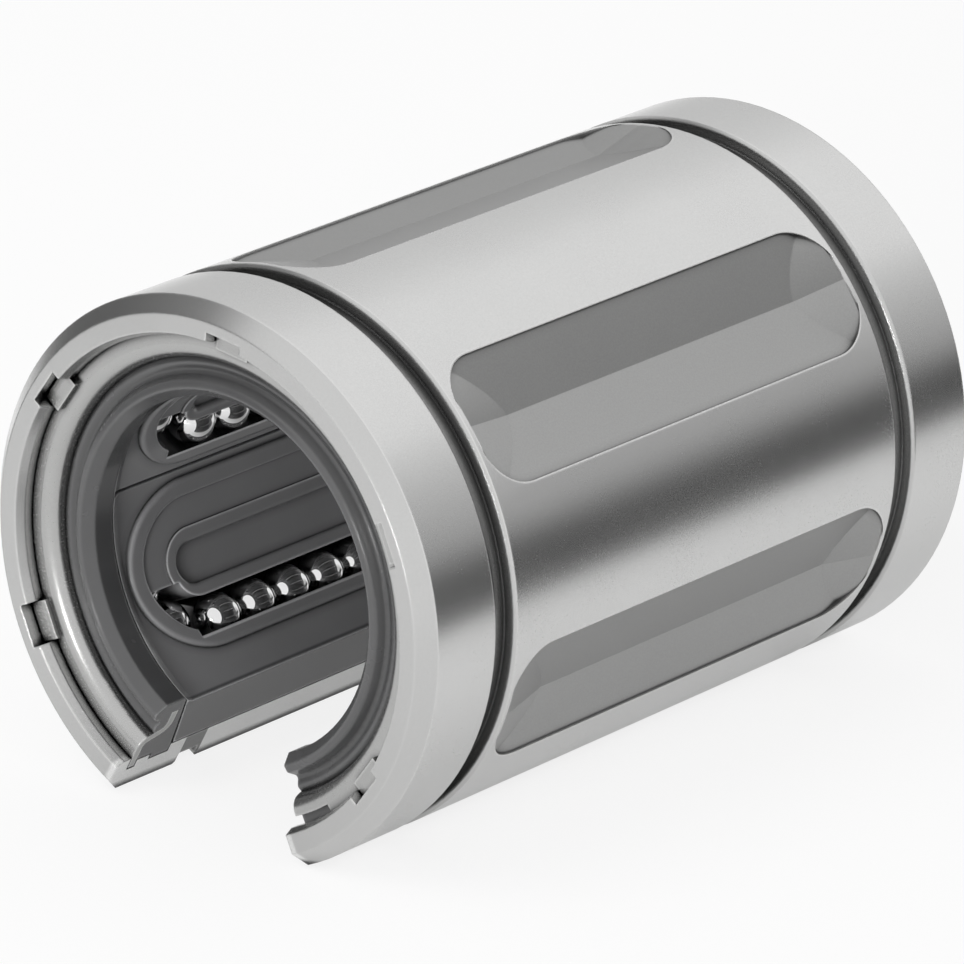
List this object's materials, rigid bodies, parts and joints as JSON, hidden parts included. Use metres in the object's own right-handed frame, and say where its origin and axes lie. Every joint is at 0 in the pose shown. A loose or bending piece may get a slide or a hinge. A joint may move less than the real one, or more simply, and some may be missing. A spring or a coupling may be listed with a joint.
{
  "type": "open linear ball bushing",
  "caption": "Open linear ball bushing for a supported round shaft, with a slotted steel sleeve, pressed pockets, a ball cage and sealed end rings.",
  "frame": {"origin": "on the shaft axis, halfway along the bushing", "axes": "+Y along the shaft from the front end to the rear end, +Z away from the lengthwise opening, +X to the right seen from the front"},
  "size_m": [0.04, 0.058, 0.0379],
  "materials": {
    "sleeve_steel": "ground and lightly polished bearing steel",
    "ring_steel": "pressed sheet steel, satin",
    "cage_plastic": "moulded, dark, half matt",
    "seal_rubber": "moulded rubber, half matt",
    "ball_steel": "polished bearing ball"
  },
  "bodies": {
    "bushing": {"outer_sleeve": "sleeve_steel", "ball_cage": "cage_plastic", "front_end_ring": "ring_steel", "rear_end_ring": "ring_steel", "front_seal": "seal_rubber", "rear_seal": "seal_rubber"},
    "loaded_row_1": {"loaded_balls_1": "ball_steel"},
    "return_row_1": {"return_balls_1": "ball_steel"},
    "front_turn_1": {"front_turn_balls_1": "ball_steel"},
    "rear_turn_1": {"rear_turn_balls_1": "ball_steel"},
    "loaded_row_2": {"loaded_balls_2": "ball_steel"},
    "return_row_2": {"return_balls_2": "ball_steel"},
    "front_turn_2": {"front_turn_balls_2": "ball_steel"},
    "rear_turn_2": {"rear_turn_balls_2": "ball_steel"},
    "loaded_row_3": {"loaded_balls_3": "ball_steel"},
    "return_row_3": {"return_balls_3": "ball_steel"},
    "front_turn_3": {"front_turn_balls_3": "ball_steel"},
    "rear_turn_3": {"rear_turn_balls_3": "ball_steel"},
    "loaded_row_4": {"loaded_balls_4": "ball_steel"},
    "return_row_4": {"return_balls_4": "ball_steel"},
    "front_turn_4": {"front_turn_balls_4": "ball_steel"},
    "rear_turn_4": {"rear_turn_balls_4": "ball_steel"},
    "loaded_row_5": {"loaded_balls_5": "ball_steel"},
    "return_row_5": {"return_balls_5": "ball_steel"},
    "front_turn_5": {"front_turn_balls_5": "ball_steel"},
    "rear_turn_5": {"rear_turn_balls_5": "ball_steel"}
  },
  "joints": [
    {"name": "loaded_row_1_travel", "type": "slide", "parent": "bushing", "child": "loaded_row_1", "axis": [0, 1, 0], "range_m": [-0.00175, 0.00175]},
    {"name": "return_row_1_travel", "type": "slide", "parent": "bushing", "child": "return_row_1", "axis": [0, 1, 0], "range_m": [-0.00176, 0.00176]},
    {"name": "front_turn_1_travel", "type": "hinge", "parent": "bushing", "child": "front_turn_1", "pos_m": [-0.01358, -0.01739, -0.00648], "axis": [-0.9026, 0, -0.4305], "range_deg": [-26.5, 26.5]},
    {"name": "rear_turn_1_travel", "type": "hinge", "parent": "bushing", "child": "rear_turn_1", "pos_m": [-0.01358, 0.01739, -0.00648], "axis": [-0.9026, 0, -0.4305], "range_deg": [-26.5, 26.5]},
    {"name": "loaded_row_2_travel", "type": "slide", "parent": "bushing", "child": "loaded_row_2", "axis": [0, 1, 0], "range_m": [-0.00175, 0.00175]},
    {"name": "return_row_2_travel", "type": "slide", "parent": "bushing", "child": "return_row_2", "axis": [0, 1, 0], "range_m": [-0.00176, 0.00176]},
    {"name": "front_turn_2_travel", "type": "hinge", "parent": "bushing", "child": "front_turn_2", "pos_m": [-0.0124, -0.01739, 0.00852], "axis": [-0.8241, 0, 0.5664], "range_deg": [-26.5, 26.5]},
    {"name": "rear_turn_2_travel", "type": "hinge", "parent": "bushing", "child": "rear_turn_2", "pos_m": [-0.0124, 0.01739, 0.00852], "axis": [-0.8241, 0, 0.5664], "range_deg": [-26.5, 26.5]},
    {"name": "loaded_row_3_travel", "type": "slide", "parent": "bushing", "child": "loaded_row_3", "axis": [0, 1, 0], "range_m": [-0.00175, 0.00175]},
    {"name": "return_row_3_travel", "type": "slide", "parent": "bushing", "child": "return_row_3", "axis": [0, 1, 0], "range_m": [-0.00176, 0.00176]},
    {"name": "front_turn_3_travel", "type": "hinge", "parent": "bushing", "child": "front_turn_3", "pos_m": [0.00118, -0.01739, 0.015], "axis": [0.0785, 0, 0.9969], "range_deg": [-26.5, 26.5]},
    {"name": "rear_turn_3_travel", "type": "hinge", "parent": "bushing", "child": "rear_turn_3", "pos_m": [0.00118, 0.01739, 0.015], "axis": [0.0785, 0, 0.9969], "range_deg": [-26.5, 26.5]},
    {"name": "loaded_row_4_travel", "type": "slide", "parent": "bushing", "child": "loaded_row_4", "axis": [0, 1, 0], "range_m": [-0.00175, 0.00175]},
    {"name": "return_row_4_travel", "type": "slide", "parent": "bushing", "child": "return_row_4", "axis": [0, 1, 0], "range_m": [-0.00176, 0.00176]},
    {"name": "front_turn_4_travel", "type": "hinge", "parent": "bushing", "child": "front_turn_4", "pos_m": [0.01358, -0.01739, 0.00648], "axis": [0.9026, 0, 0.4305], "range_deg": [-26.5, 26.5]},
    {"name": "rear_turn_4_travel", "type": "hinge", "parent": "bushing", "child": "rear_turn_4", "pos_m": [0.01358, 0.01739, 0.00648], "axis": [0.9026, 0, 0.4305], "range_deg": [-26.5, 26.5]},
    {"name": "loaded_row_5_travel", "type": "slide", "parent": "bushing", "child": "loaded_row_5", "axis": [0, 1, 0], "range_m": [-0.00175, 0.00175]},
    {"name": "return_row_5_travel", "type": "slide", "parent": "bushing", "child": "return_row_5", "axis": [0, 1, 0], "range_m": [-0.00176, 0.00176]},
    {"name": "front_turn_5_travel", "type": "hinge", "parent": "bushing", "child": "front_turn_5", "pos_m": [0.0124, -0.01739, -0.00852], "axis": [0.8241, 0, -0.5664], "range_deg": [-26.5, 26.5]},
    {"name": "rear_turn_5_travel", "type": "hinge", "parent": "bushing", "child": "rear_turn_5", "pos_m": [0.0124, 0.01739, -0.00852], "axis": [0.8241, 0, -0.5664], "range_deg": [-26.5, 26.5]}
  ],
  "couplings": [
    {"joint": "return_row_1_travel", "follows": "loaded_row_1_travel", "ratio": -1},
    {"joint": "front_turn_1_travel", "follows": "loaded_row_1_travel", "rad_per_m": -263.16},
    {"joint": "rear_turn_1_travel", "follows": "loaded_row_1_travel", "rad_per_m": -263.16},
    {"joint": "return_row_2_travel", "follows": "loaded_row_2_travel", "ratio": -1},
    {"joint": "front_turn_2_travel", "follows": "loaded_row_2_travel", "rad_per_m": -263.16},
    {"joint": "rear_turn_2_travel", "follows": "loaded_row_2_travel", "rad_per_m": -263.16},
    {"joint": "return_row_3_travel", "follows": "loaded_row_3_travel", "ratio": -1},
    {"joint": "front_turn_3_travel", "follows": "loaded_row_3_travel", "rad_per_m": -263.16},
    {"joint": "rear_turn_3_travel", "follows": "loaded_row_3_travel", "rad_per_m": -263.16},
    {"joint": "return_row_4_travel", "follows": "loaded_row_4_travel", "ratio": -1},
    {"joint": "front_turn_4_travel", "follows": "loaded_row_4_travel", "rad_per_m": -263.16},
    {"joint": "rear_turn_4_travel", "follows": "loaded_row_4_travel", "rad_per_m": -263.16},
    {"joint": "return_row_5_travel", "follows": "loaded_row_5_travel", "ratio": -1},
    {"joint": "front_turn_5_travel", "follows": "loaded_row_5_travel", "rad_per_m": -263.16},
    {"joint": "rear_turn_5_travel", "follows": "loaded_row_5_travel", "rad_per_m": -263.16}
  ]
}
